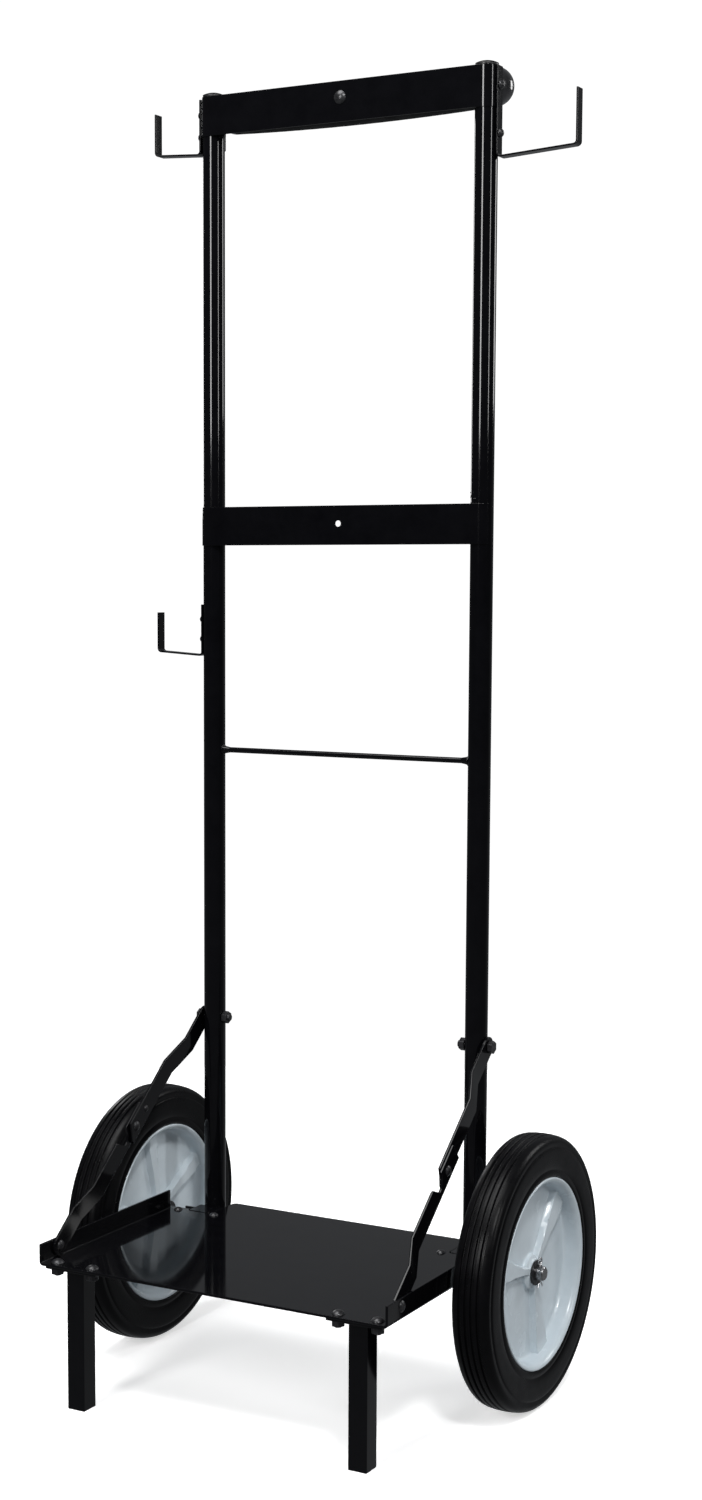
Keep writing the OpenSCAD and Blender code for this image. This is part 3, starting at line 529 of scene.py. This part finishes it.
def rib_height(radius, angle, first_deg, count, half_in, half_out):
    """How much of a rib stands at this place, from 0 on the disc to 1 on the rib's top."""
    turn = 2 * math.pi / count
    off = (angle - math.radians(first_deg) + turn / 2) % turn - turn / 2
    flare = smooth_step((radius - RIB_FLARE_R) / (WELL_R - RIB_FLARE_R))
    half = half_in + (half_out - half_in) * flare
    across = abs(radius * math.sin(off))
    return smooth_step((half + RIB_FLANK / 2 - across) / RIB_FLANK)


def add_rim(side):
    """White moulded wheel centre with flared ribs on its disc: three outside and five inside."""
    way = 1 if side == "right" else -1

    def shape(radius, along, angle):
        ribbed = RIB_HUB_R < radius < RIB_WALL_R
        if ribbed and DISC_IN / 2 < along < RIB_REACH:
            spoke = rib_height(radius, angle, *OUTER_RIBS)
            top = DISC_OUT - RIB_ROOT + (RIB_H + RIB_ROOT) * spoke
            along = smooth_max(along, top, RIB_BLEND)
        elif ribbed and -RIB_REACH < along <= DISC_IN / 2:
            spoke = rib_height(radius, angle, *INNER_RIBS)
            top = -DISC_IN - RIB_ROOT + (RIB_H + RIB_ROOT) * spoke
            along = -smooth_max(-along, top, RIB_BLEND)
        return way * along

    section = dense(rounded(rim_outline()), RIM_SPAN)
    bm = lathe(section, middle("rim_" + side), RIM_TURNS, shape)
    add_piece("wheel_rim_" + side, bm, "rim", "wheel_" + side, 60.0, ("rim_" + side,))


# the tyre, in mm; places along the axle are from the wheel's middle
TYRE_R = 152.4
TYRE_HALF = 22.2
TYRE_SEAT_HALF = 16.0
GROOVES = (-10.5, -3.5, 3.5, 10.5)
GROOVE_DEPTH = 2.0
GROOVE_HALF = 1.84      # half a groove's width at the tread
GROOVE_SIDE = 1.15      # width of its sloping side
TREAD_HALF = 13.0
TREAD_DROP = 0.9        # the tread's edges are this much lower than its middle
TREAD_EDGE = 13.2       # the tread's points run from here to the other side
TREAD_STEP = 0.3
SHOULDER_R = 9.0        # round between the tread and the sidewall
SHOULDER_AT = 142.2     # radius of that round's middle
TYRE_TURNS = 240        # sections round the tyre
TYRE_SPAN = 4.0         # longest side of a section


def tread_radius(x):
    """Radius of the tread at x from the middle: slightly crowned, with rounded grooves."""
    crown = TYRE_R - TREAD_DROP * (x / TREAD_HALF) ** 2
    cut = max(smooth_step((GROOVE_HALF - abs(x - at)) / GROOVE_SIDE) for at in GROOVES)
    return crown - GROOVE_DEPTH * cut


def shoulder(way):
    """The round on one side of the tread, from the sidewall up; way is 1 or -1."""
    turns = [math.radians(deg) for deg in range(10, 90, 10)]
    return [(SHOULDER_AT + SHOULDER_R * math.sin(a), way * (TREAD_HALF + SHOULDER_R * math.cos(a)))
            for a in turns]


def tyre_outline():
    """Closed section of the tyre, from bead to bead over the tread and back along the seat."""
    sidewall = [(RIM_R + 0.2, 18.2), (RIM_R + 0.4, 20.2), (107.6, 21.2), (110, 21.5), (112.6, 21.0),
                (113.6, 20.3), (114.8, 20.3), (116.0, 21.2), (122, 22.0), (131, TYRE_HALF),
                (137, 22.1), (138.2, 21.6), (139.0, 21.0), (140.0, 21.2)]
    count = round(2 * TREAD_EDGE / TREAD_STEP)
    tread = [TREAD_EDGE - TREAD_STEP * i for i in range(count + 1)]
    seat = [(SEAT_R, -TYRE_SEAT_HALF), (SEAT_R, TYRE_SEAT_HALF)]
    return (sidewall + shoulder(1) + [(tread_radius(x), x) for x in tread] + shoulder(-1)[::-1]
            + [(r, -x) for r, x in reversed(sidewall)] + seat)


def add_tyre(side):
    """Ribbed tyre, with four grooves round the tread and a moulding line on each sidewall."""
    bm = lathe(dense(tyre_outline(), TYRE_SPAN), middle("tyre_" + side), TYRE_TURNS)
    add_piece("tyre_tread_" + side, bm, "tyre", "wheel_" + side, 50.0, ("tyre_" + side,))


# ---------------------------------------------------------------- split pins

PIN_WIRE_R = 0.85
PIN_INSET = 1.6         # from the end of the pins' box to the pin's middle, mm
# half of the wire's run, as (along Y in mm, above the top or below the bottom of the axle in metres)
PIN_FEET = ((6.4, -0.0078), (3.6, -0.0042))
PIN_EYE = ((2.6, 0.0022), (4.6, 0.0052), (3.0, 0.0086))
PIN_EYE_TOP = 0.0096


def add_split_pins():
    """Half-round wire bent double: an eye above the axle and two legs spread below it."""
    low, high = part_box("split_pins")
    axle_low, axle_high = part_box("axle")
    for name, x in (("left", low.x + PIN_INSET * MM), ("right", high.x - PIN_INSET * MM)):
        centre = Vector((x, (axle_low.y + axle_high.y) / 2, (axle_low.z + axle_high.z) / 2))
        top = axle_high.z - centre.z
        data = bpy.data.curves.new("split_pin_" + name, "CURVE")
        data.dimensions = "3D"
        data.bevel_depth = PIN_WIRE_R * MM
        data.bevel_resolution = 3
        data.use_fill_caps = True
        data.resolution_u = 8
        spline = data.splines.new("NURBS")
        half = [(0.8, -top - 0.0005), (0.75, 0), (0.8, top + 0.0002)]
        half += [(y, top + z) for y, z in PIN_EYE]
        feet = [(y, z - top) for y, z in PIN_FEET]
        path = feet + half + [(0, top + PIN_EYE_TOP)] + [(-y, z) for y, z in reversed(half)]
        path += [(-y * 0.8, z * 0.98) for y, z in reversed(feet)]
        spline.points.add(len(path) - 1)
        for point, (y, z) in zip(spline.points, path):
            point.co = (*(centre + Vector((0, y * MM, z))), 1)
        spline.use_endpoint_u = True
        spline.order_u = 3
        data.materials.append(finishes["hardware"])
        obj = bpy.data.objects.new("split_pin_" + name, data)
        bpy.context.scene.collection.objects.link(obj)
        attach(obj, "frame")
        if name == "right":
            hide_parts("split_pins")


# ---------------------------------------------------------------- welds

# radii of the beads and where they lie, in mm
LEG_BEAD, ROD_BEAD, AXLE_BEAD, STRAP_BEAD = 1.7, 1.5, 1.9, 1.5
LEG_GAP = 0.4           # below the flange's underside
ROD_RING_R = 4.6
AXLE_DEPTH = 0.6        # in from the axle's rear, and AXLE_EDGE in from its top and bottom
AXLE_EDGE = 1.6
AXLE_HALF = 9.0         # half the length of a bead on the axle
STRAP_LEN = 12.0
STRAP_SIDE = 8.2        # from the tube's middle towards the cart's middle
STRAP_BEHIND = 2.4      # behind the tube's front
STRAP_ENDS = (2.0, 14.0)    # the lower bead starts above the strap's bottom, the upper below its top


def add_welds():
    """Beads where the legs meet their flanges, and at the cross rod, axle and crosspieces."""
    for side in ("left", "right"):
        low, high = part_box("leg_" + side)
        flange_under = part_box("leg_flange_" + side)[0].z - LEG_GAP * MM
        corners = [Vector((x, y, flange_under)) for x, y in
                   ((low.x, low.y), (high.x, low.y), (high.x, high.y), (low.x, high.y))]
        for k in range(4):
            bead(f"leg_weld_{side}_{k}", line(corners[k], corners[(k + 1) % 4]), LEG_BEAD, "base")
        way = 1 if side == "right" else -1
        tube = middle("upper_upright_" + side)
        tube_low, tube_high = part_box("upper_upright_" + side)
        tube_r = (tube_high.x - tube_low.x) / 2
        rod = middle("lower_cross_rod")
        rod_end = Vector((tube.x - way * tube_r, rod.y, rod.z))
        bead(f"rod_weld_{side}", circle_x(rod_end, ROD_RING_R), ROD_BEAD, "frame")
        axle_low, axle_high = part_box("axle")
        groove_y = axle_high.y - AXLE_DEPTH * MM
        for k, z in enumerate((axle_low.z + AXLE_EDGE * MM, axle_high.z - AXLE_EDGE * MM)):
            start = Vector((tube.x - AXLE_HALF * MM, groove_y, z))
            bead(f"axle_weld_{side}_{k}", line(start, start + 2 * AXLE_HALF * MM * X), AXLE_BEAD,
                 "frame")
        for strap in ("top_crosspiece", "middle_crosspiece"):
            low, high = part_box(strap)
            for k, z in enumerate((low.z + STRAP_ENDS[0] * MM, high.z - STRAP_ENDS[1] * MM)):
                start = Vector((tube.x - way * STRAP_SIDE * MM,
                                tube.y - tube_r + STRAP_BEHIND * MM, z))
                bead(f"{strap}_weld_{side}_{k}", line(start, start + STRAP_LEN * MM * Z), STRAP_BEAD,
                     "frame")


SPATTER_COUNT = 9
SPATTER_TURN = (-150, -70)      # degrees round the tube
SPATTER_RISE = (-1, 14)         # above the middle crosspiece, mm
SPATTER_R = (0.5, 1.2)
SPATTER_UNEVEN = 0.12


def add_spatter():
    """Beads of weld metal thrown on the right upright, above the middle crosspiece."""
    rng = random.Random(7)
    tube = middle("upper_upright_right")
    low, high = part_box("upper_upright_right")
    tube_r = (high.x - low.x) / 2
    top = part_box("middle_crosspiece")[1].z
    bm = bmesh.new()
    for _ in range(SPATTER_COUNT):
        turn = math.radians(rng.uniform(*SPATTER_TURN))
        at = Vector((tube.x + tube_r * math.cos(turn), tube.y + tube_r * math.sin(turn),
                     top + rng.uniform(*SPATTER_RISE) * MM))
        grow = rng.uniform(*SPATTER_R) * MM
        bmesh.ops.create_icosphere(bm, subdivisions=2, radius=grow, matrix=Matrix.Translation(at))
    for vert in bm.verts:
        shake = Vector((rng.uniform(-1, 1), rng.uniform(-1, 1), rng.uniform(-1, 1)))
        vert.co += SPATTER_UNEVEN * MM * shake
    add_piece("weld_spatter", bm, "paint", "frame", 80.0)


# ---------------------------------------------------------------- putting it together

EDGE_MM = {
    "top_crosspiece": 0.3, "middle_crosspiece": 0.3, "base_plate": 0.7,
    "hook_upper_right": 0.5, "hook_upper_left": 0.5, "hook_lower_left": 0.5,
    "hook_bolts": 0.35, "centre_bolt": 0.4, "joint_screws": 0.3, "grip_bolts": 0.35,
    "grip_bracket_left": 0.5, "grip_bracket_right": 0.5,
    "stay_bolts": 0.5, "leg_bolts": 0.5, "hinge_bolts": 0.4, "stay_foot_rivets": 0.4,
    "leg_left": 0.8, "leg_right": 0.8, "leg_flange_left": 0.6, "leg_flange_right": 0.6,
    "hinge_loops_left": 0.5, "hinge_loops_right": 0.5,
    "stay_upper_left": 0.6, "stay_upper_right": 0.6, "stay_lower_left": 0.6, "stay_lower_right": 0.6,
    "stay_knee_left": 0.3, "stay_knee_right": 0.3, "stay_stud_left": 0.3, "stay_stud_right": 0.3,
    "tube_cap_left": 0.9, "tube_cap_right": 0.9, "axle_washers": 0.4, "upright_lugs": 0.4}

add_camera()
add_stage()
paint_nodes()
for soft_node, edge in EDGE_MM.items():
    soften(soft_node, edge)
for wheel_side in ("left", "right"):
    add_rim(wheel_side)
    add_tyre(wheel_side)
add_split_pins()
add_welds()
add_spatter()
